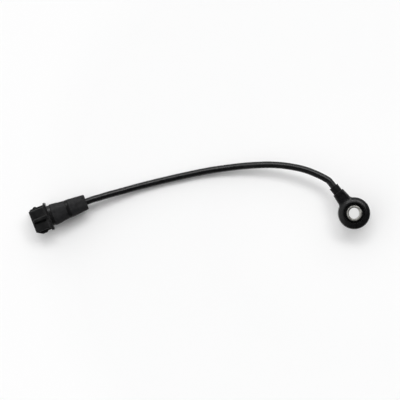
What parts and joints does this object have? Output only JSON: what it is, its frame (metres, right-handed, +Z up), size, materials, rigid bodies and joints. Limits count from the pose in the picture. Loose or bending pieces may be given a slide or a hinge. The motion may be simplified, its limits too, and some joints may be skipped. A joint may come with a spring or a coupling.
{
  "type": "engine knock sensor",
  "caption": "Ring-shaped engine knock sensor with a steel bolt sleeve, a moulded cable neck, a short round cable and a plug with a tapered boot.",
  "frame": {"origin": "bottom centre of the head's box, on the plane of the steel contact face; the bolt bore stands 6.7 mm to the -X side of it", "axes": "+Z up along the bolt bore, +X along the cable neck and out of the head, +Y completes the right-handed set"},
  "size_m": [0.1633, 0.2107, 0.0185],
  "materials": {
    "moulded_nylon": "fine moulded texture",
    "plug_nylon": "fine moulded texture",
    "boot_plastic": "satin",
    "grommet_rubber": "matt",
    "cable_jacket": "satin",
    "seal_rubber": "matt",
    "lock_plastic": "satin",
    "plated_steel": "zinc plated",
    "mass_steel": "turned",
    "spring_steel": "tempered",
    "contact_brass": "stamped",
    "tinned_brass": "tinned",
    "piezo_ceramic": "ground",
    "insulating_film": "smooth",
    "signal_insulation": "extruded",
    "return_insulation": "extruded",
    "drain_insulation": "extruded"
  },
  "bodies": {
    "root": {"housing": "moulded_nylon", "sleeve": "plated_steel", "insulating_tube": "insulating_film", "lower_insulating_washer": "insulating_film", "lower_contact_disc": "contact_brass", "piezo_ring": "piezo_ceramic", "upper_contact_disc": "contact_brass", "upper_insulating_washer": "insulating_film", "seismic_mass": "mass_steel", "disc_spring": "spring_steel", "clamp_nut": "plated_steel", "neck_grommet": "grommet_rubber", "head_signal_core": "signal_insulation", "head_return_core": "return_insulation", "cable": "cable_jacket", "boot": "boot_plastic", "crimp_ferrule": "plated_steel", "plug_signal_core": "signal_insulation", "plug_drain_core": "drain_insulation", "plug_return_core": "return_insulation", "wire_seal": "seal_rubber", "connector_shell": "plug_nylon", "terminal_lock": "lock_plastic", "terminal_1": "tinned_brass", "terminal_2": "tinned_brass", "terminal_3": "tinned_brass"}
  },
  "joints": []
}
